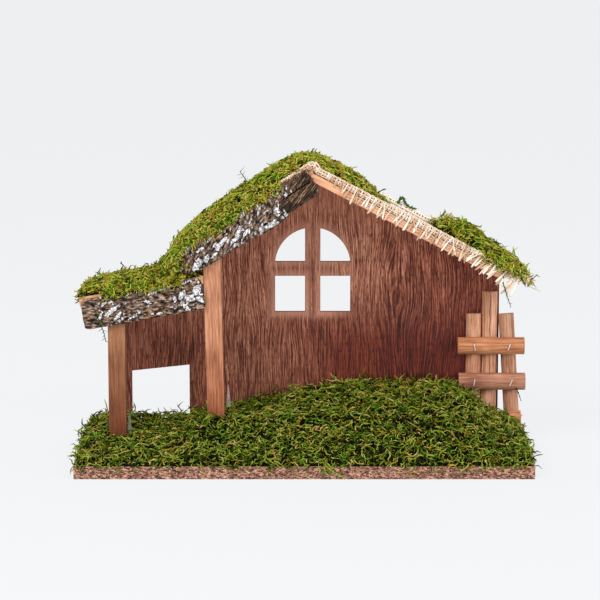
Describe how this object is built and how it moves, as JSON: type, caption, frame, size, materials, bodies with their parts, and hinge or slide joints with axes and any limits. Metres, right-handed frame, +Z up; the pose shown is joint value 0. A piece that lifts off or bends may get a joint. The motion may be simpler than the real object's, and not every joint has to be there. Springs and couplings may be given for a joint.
{
  "type": "wooden nativity stable",
  "caption": "Open-fronted wooden crib stable on a mossy base, with an arched cross-bar window, a low side bay, bark and moss roofs and a small stick fence.",
  "frame": {"origin": "middle of the base board's underside", "axes": "+X to the right along the open front, +Y from the open front to the back wall, +Z up"},
  "size_m": [0.3046, 0.12, 0.2055],
  "materials": {
    "chipboard": "raw sawn chipboard edge, stained red-brown",
    "plywood": "stained plywood, upright grain, satin",
    "softwood": "sawn softwood, stained light brown",
    "roof_wood": "thin sawn board, pale orange-tan",
    "bark": "rough bark with white lichen",
    "stick_wood": "split round sticks, dry and matte",
    "jute": "open-weave natural fibre",
    "moss": "dried and dyed moss",
    "glue": "clear hot-melt glue",
    "steel": "bright wire"
  },
  "bodies": {
    "root": {"base_board": "chipboard", "back_wall": "plywood", "lean_to_wall": "plywood", "mid_post": "softwood", "left_post": "softwood", "roof_board_left": "roof_wood", "roof_board_right": "roof_wood", "roof_board_lean_to": "roof_wood", "bark_main": "bark", "bark_ridge_strip": "bark", "bark_lean_to": "bark", "jute_mat": "jute", "moss_bed": "moss", "moss_ridge": "moss", "moss_lean_to": "moss", "moss_eave": "moss", "fence_stick_left": "stick_wood", "fence_stick_tall": "stick_wood", "fence_stick_right": "stick_wood", "fence_rail_top": "stick_wood", "fence_rail_middle": "stick_wood", "fence_rail_bottom": "stick_wood", "fence_staples": "steel", "glue_mid_post": "glue", "glue_left_post": "glue", "glue_wall_foot": "glue", "roof_brads": "steel", "base_brads": "steel"}
  },
  "joints": []
}
